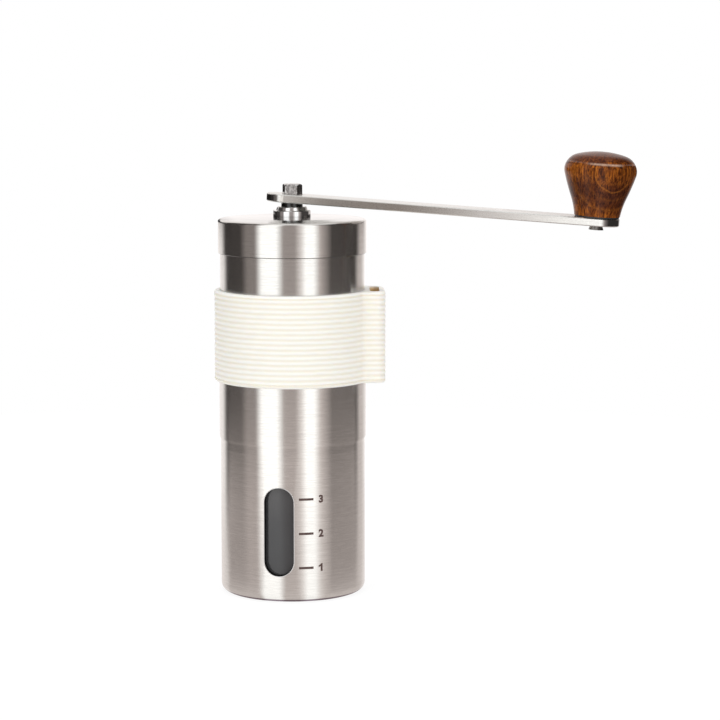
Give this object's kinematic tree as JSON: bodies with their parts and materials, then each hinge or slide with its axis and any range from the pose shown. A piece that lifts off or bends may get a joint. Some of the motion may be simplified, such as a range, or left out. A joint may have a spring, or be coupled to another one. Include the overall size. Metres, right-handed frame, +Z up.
{
  "type": "manual coffee grinder",
  "caption": "Slim hand coffee grinder: brushed steel tube with a lift-off crank and wooden knob, adjustable ceramic cone burrs, ribbed grip band and a windowed grounds cup.",
  "frame": {"origin": "centre of the grounds cup's underside, on the shaft's axis", "axes": "+Z up along the shaft, +X along the crank at rest, -Y 3.5 degrees from the middle of the cup's window"},
  "size_m": [0.1388, 0.0516, 0.1468],
  "materials": {
    "steel": "fine brushed round the body",
    "arm_steel": "fine brushed along the bar",
    "polished_steel": "polished",
    "silicone": "matt cream silicone",
    "smoke_plastic": "smoky clear plastic",
    "black_rubber": "matt",
    "black_plastic": "fine moulded",
    "white_ceramic": "fired, satin",
    "bearing_plastic": "smooth",
    "wood": "dark satin lacquer",
    "brass": "machined"
  },
  "bodies": {
    "cup": {"grounds_cup": "steel", "window_gasket": "black_rubber", "window_pane": "smoke_plastic", "grip_band": "silicone"},
    "housing": {"body_tube": "steel", "burr_carrier": "black_plastic", "hub_bush": "bearing_plastic", "outer_burr": "white_ceramic", "burr_retainer": "black_plastic", "cup_seal": "black_rubber", "retainer_screws": "polished_steel"},
    "lid": {"lid_shell": "steel", "lid_bush": "polished_steel", "lid_washer": "bearing_plastic", "lid_nut": "polished_steel"},
    "shaft": {"shaft": "polished_steel", "thrust_washer": "polished_steel", "shaft_clip": "polished_steel", "spring_washer": "polished_steel", "burr_spring": "polished_steel"},
    "crank": {"crank_arm": "arm_steel"},
    "knob": {"knob": "wood", "knob_insert": "brass", "knob_pin": "polished_steel", "knob_washer": "black_plastic"},
    "burr": {"inner_burr": "white_ceramic", "drive_plate": "polished_steel"},
    "dial": {"grind_dial": "black_plastic", "dial_insert": "brass"}
  },
  "joints": [
    {"name": "body_lift", "type": "slide", "parent": "cup", "child": "housing", "axis": [0, 0, 1], "range_m": [0, 0.065]},
    {"name": "lid_lift", "type": "slide", "parent": "housing", "child": "lid", "axis": [0, 0, 1], "range_m": [0, 0.03]},
    {"name": "crank_spin", "type": "hinge", "parent": "housing", "child": "shaft", "pos_m": [0, 0, 0.079], "axis": [0, 0, 1], "continuous": true},
    {"name": "crank_lift", "type": "slide", "parent": "shaft", "child": "crank", "axis": [0, 0, 1], "range_m": [0, 0.06]},
    {"name": "knob_spin", "type": "hinge", "parent": "crank", "child": "knob", "pos_m": [0.10007, 0, 0.12408], "axis": [0.068, 0, 0.9977], "continuous": true},
    {"name": "burr_travel", "type": "slide", "parent": "shaft", "child": "burr", "axis": [0, 0, -1], "range_m": [0, 0.001], "deforming": ["burr_spring"]},
    {"name": "dial_spin", "type": "hinge", "parent": "burr", "child": "dial", "pos_m": [0, 0, 0.04695], "axis": [0, 0, -1], "range_deg": [0, 450]}
  ],
  "couplings": [
    {"joint": "lid_lift", "follows": "crank_lift", "ratio": 0.5},
    {"joint": "burr_travel", "follows": "dial_spin", "m_per_rad": 0.00012732}
  ]
}
